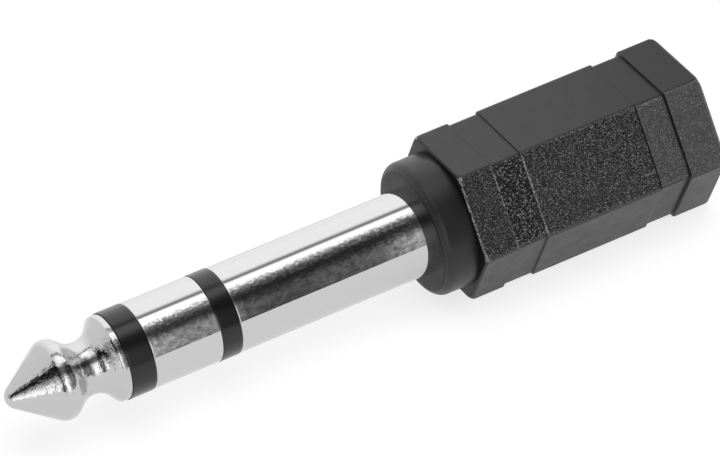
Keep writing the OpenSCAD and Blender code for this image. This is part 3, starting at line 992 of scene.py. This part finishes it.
@dataclass(frozen=True)
class TentCloth:
    """White cloth over a dark front, with levels that give the plug the photograph's reflections.

    Angles are degrees about the plug's axis, from the front over the top to the back.
    """

    name: str = "light_tent"
    strength: float = 8.0
    angles: Pair = (-20, 200)
    stations: Pair = (-200, 100)
    fold_scale: Triple = (3200.0, 8.0, 1.0)
    ragged_angles: Pair = (78, 96)
    ragged_degrees: Pair = (36, 1)
    lean_stations: Pair = (-20, 14)
    lean: float = 0.3
    clutter_scale: Triple = (1500.0, 4.0, 1.0)
    clutter_span: Pair = (0.33, 0.72)
    clutter_low: float = 0.15

    def _edges(self, tree: NodeTree, along: NodeSocket, angle: Node, flat: Node) -> tuple[Node, Node]:
        """Shifts the angle that the levels are read by, for the edges of the dark part.

        Args:
            tree: the material's node tree.
            along: the place along the tent.
            angle: the angle round it.
            flat: both as a vector.

        Returns:
            The shifted angle for the front, and the one for the white strip.
        """
        # Folds and seams of the cloth, which make the edges of the dark part ragged
        cloth = add_node(tree, "Mapping", {"Vector": flat, "Scale": self.fold_scale})
        folds = add_node(tree, "TexNoise", {"Vector": cloth, "Scale": 1.0, "Detail": 3.0, "Roughness": 0.6})
        folded = add_node(tree, "Math", {0: folds, 1: 0.5}, operation="SUBTRACT")
        low, high = self.ragged_angles
        most, least = self.ragged_degrees
        reach = add_node(tree, "MapRange", {
            "Value": angle, "From Min": math.radians(low), "From Max": math.radians(high),
            "To Min": math.radians(most), "To Max": math.radians(least),
        })
        shifted = add_node(tree, "Math", {0: folded, 1: reach, 2: angle}, operation="MULTIPLY_ADD")
        # The white strip hangs lower towards the tip
        front, rear = self.lean_stations
        lean = add_node(tree, "MapRange", {
            "Value": along, "From Min": front * MM, "From Max": rear * MM, "To Min": self.lean, "To Max": 0.0,
        })
        hung = add_node(tree, "Math", {0: lean, 1: reach, 2: shifted}, operation="MULTIPLY_ADD")
        return shifted, hung

    def make(self) -> Material:
        """Builds the material."""
        material, tree = new_material(self.name)
        place = add_node(tree, "TexCoord").outputs["Object"]
        axes = add_node(tree, "SeparateXYZ", {"Vector": place})
        along = axes.outputs["X"]
        from_top = add_node(tree, "Math", {0: axes.outputs["Y"], 1: axes.outputs["Z"]}, operation="ARCTAN2")
        angle = add_node(tree, "Math", {0: from_top, 1: math.pi / 2}, operation="ADD")
        flat = add_node(tree, "CombineXYZ", {"X": along, "Y": angle})
        shifted, hung = self._edges(tree, along, angle, flat)
        readers = {"cone_front": shifted, "front": shifted, "tip_top": hung, "grip_top": hung}
        levels = {}
        for name, stops in (ROUND_LEVELS | ALONG_LEVELS).items():
            (low, high), unit = (self.angles, math.radians(1)) if name in readers else (self.stations, MM)
            span = add_node(tree, "MapRange", {
                "Value": readers.get(name, along), "From Min": low * unit, "From Max": high * unit,
            })
            levels[name] = add_node(tree, "ValToRGB", {"Fac": span})
            elements = levels[name].color_ramp.elements
            elements.remove(elements[-1])
            for i, (at, level) in enumerate(stops):
                position = (at - low) / (high - low)
                stop = elements[0] if i == 0 else elements.new(position)
                stop.position = position
                stop.color = (level, level, level, 1)
        # The camera's side of the studio is cluttered, which mottles the reflection below the dark part
        clutter = add_node(tree, "Mapping", {"Vector": flat, "Scale": self.clutter_scale})
        things = add_node(tree, "TexNoise", {
            "Vector": clutter, "Scale": 1.0, "Detail": 4.0, "Roughness": 0.8,
        })
        mottle = add_node(tree, "MapRange", {
            "Value": things, "From Min": self.clutter_span[0], "From Max": self.clutter_span[1],
            "To Min": self.clutter_low,
        })
        mottled = add_node(tree, "Math", {0: mottle, 1: levels["front_level"]}, operation="MULTIPLY")
        below = add_node(tree, "Mix", {
            "Factor": levels["at_neck"], "A": levels["cone_front"], "B": levels["front"],
        }, data_type="RGBA")
        front = add_node(tree, "VectorMath", {0: below, "Scale": mottled}, operation="SCALE")
        above = add_node(tree, "Mix", {
            "Factor": levels["at_grip"], "A": levels["tip_top"], "B": levels["grip_top"],
        }, data_type="RGBA")
        strip = add_node(tree, "VectorMath", {0: above, "Scale": levels["top_level"]}, operation="SCALE")
        both = add_node(tree, "VectorMath", {0: front, 1: strip}, operation="ADD")
        glow = add_node(tree, "Emission", {"Color": both, "Strength": self.strength})
        add_node(tree, "OutputMaterial", {"Surface": glow})
        return material


@dataclass
class Studio:
    """A pale floor, a reflecting tent, soft light and the camera."""

    floor_height: float = -5.45
    floor_size: float = 4000
    floor_colour: str = "#a0a0a0"
    floor_glow: float = 0.76
    world_fill: float = 0.65
    # The fill falls to this share of itself between these directions along X
    dark_share: float = 0.2
    dark_span: Pair = (-0.2, 0.8)
    tent_radius: float = 60
    tent_front: float = -420
    tent_rear: float = 260
    tent_angles: Pair = (-6, 186)
    tent_steps: int = 128
    lamp_place: Triple = (60, -120, 420)
    lamp_size: float = 400
    lamp_watts: float = 0.9
    camera_place: Triple = (-169.156, -348.008, 291.496)
    camera_right: Triple = (0.867830, -0.488296, -0.091862)
    camera_up: Triple = (0.359638, 0.489754, 0.794230)
    camera_reach: Pair = (0.01, 20)
    lens: float = 348.145
    sensor: float = 36

    def _where_seen(self, tree: NodeTree) -> Node:
        """Adds nodes whose output is 1 for rays from the camera, a reflection or glass, and 0 otherwise.

        Args:
            tree: the node tree.

        Returns:
            The last node.
        """
        rays = add_node(tree, "LightPath").outputs
        seen = rays["Is Camera Ray"]
        for ray in ("Is Glossy Ray", "Is Transmission Ray"):
            seen = add_node(tree, "Math", {0: seen, 1: rays[ray]}, operation="MAXIMUM")
        return seen

    def floor(self) -> None:
        """Lays the pale floor under the grip's rear band."""
        material, tree = new_material("pale_floor")
        diffuse = add_node(tree, "BsdfDiffuse", {"Color": linear(self.floor_colour)})
        level = add_node(tree, "Math", {0: self._where_seen(tree), 1: self.floor_glow}, operation="MULTIPLY")
        glow = add_node(tree, "Emission", {"Strength": level})
        both = add_node(tree, "AddShader", {0: diffuse, 1: glow})
        add_node(tree, "OutputMaterial", {"Surface": both})
        bm = bmesh.new()
        bmesh.ops.create_grid(
            bm, x_segments=1, y_segments=1, size=self.floor_size / 2 * MM,
            matrix=Matrix.Translation((0, 0, self.floor_height * MM)),
        )
        floor = mesh_object(bm, "floor")
        floor.data.materials.append(material)

    def tent(self) -> None:
        """Rolls a tent about the plug's axis, which only shows in reflections.

        Its front quarter is dark, as the camera's side of a real light tent is, with a white strip over it.
        """
        bm = bmesh.new()
        ends = [bm.verts.new((x * MM, -self.tent_radius * MM, 0)) for x in (self.tent_front, self.tent_rear)]
        pole = bm.edges.new(ends)
        start, stop = map(math.radians, self.tent_angles)
        bmesh.ops.rotate(bm, verts=ends, cent=(0, 0, 0), matrix=Matrix.Rotation(-start, 3, "X"))
        bmesh.ops.spin(
            bm, geom=[pole], cent=(0, 0, 0), axis=X_AXIS, angle=start - stop, steps=self.tent_steps,
            use_merge=False,
        )
        tent = mesh_object(bm, "light_tent")
        tent.data.materials.append(TentCloth().make())
        tent.visible_camera = False
        tent.visible_diffuse = False
        tent.visible_shadow = False
        tent.visible_transmission = False

    def world(self) -> None:
        """Makes the surroundings white where they are seen, with an even fill on the object."""
        world = bpy.data.worlds.new("white_surroundings")
        bpy.context.scene.world = world
        world.use_nodes = True
        tree = world.node_tree
        tree.nodes.clear()
        # The room is darker beyond the plug's tip, so the collar's front face stays dark
        incoming = add_node(tree, "NewGeometry").outputs["Incoming"]
        ray = add_node(tree, "SeparateXYZ", {"Vector": incoming})
        fill = add_node(tree, "MapRange", {
            "Value": ray, "From Min": self.dark_span[0], "From Max": self.dark_span[1],
            "To Min": self.world_fill, "To Max": self.world_fill * self.dark_share,
        })
        seen = self._where_seen(tree)
        level = add_node(tree, "MapRange", {"Value": seen, "To Min": fill, "To Max": 1.0})
        back = add_node(tree, "Background", {"Color": (1, 1, 1, 1), "Strength": level})
        add_node(tree, "OutputWorld", {"Surface": back})

    def lamp(self) -> None:
        """Hangs a soft lamp that faces the part."""
        light = bpy.data.lights.new("overhead_softbox", "AREA")
        light.size = self.lamp_size * MM
        light.energy = self.lamp_watts
        lamp = new_object("overhead_softbox", light)
        lamp.location = Vector(self.lamp_place) * MM
        lamp.rotation_euler = (-Vector(self.lamp_place)).to_track_quat("-Z", "Y").to_euler()
        lamp.visible_glossy = False

    def camera(self) -> None:
        """Stands the camera where the photograph was taken from."""
        data = bpy.data.cameras.new("camera")
        data.sensor_width = self.sensor
        data.lens = self.lens
        data.clip_start, data.clip_end = self.camera_reach
        right, up = Vector(self.camera_right), Vector(self.camera_up)
        turn = Matrix((right, up, right.cross(up))).transposed()
        camera = new_object("camera", data)
        camera.matrix_world = Matrix.Translation(Vector(self.camera_place) * MM) @ turn.to_4x4()
        bpy.context.scene.camera = camera


def main() -> None:
    """Builds the adapter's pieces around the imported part, and the studio."""
    logging.basicConfig(level=logging.INFO, format="%(name)s: %(message)s")
    bpy.context.scene.view_settings.view_transform = "Standard"

    plug = Plug()
    nickel = BURNISHED_NICKEL.make()
    plug.dress([plug.ring_contact(), plug.sleeve()], nickel)
    plug.dress([plug.tip()], FORMED_NICKEL.make())
    plug.dress(plug.insulators(), GLOSS_ACETAL.make())

    grip = Grip()
    grip.dress(grip.build())

    Socket().bush().data.materials.append(nickel)
    Works().dress()

    studio = Studio()
    studio.floor()
    studio.tent()
    studio.world()
    studio.lamp()
    studio.camera()


if __name__ == "__main__":
    main()
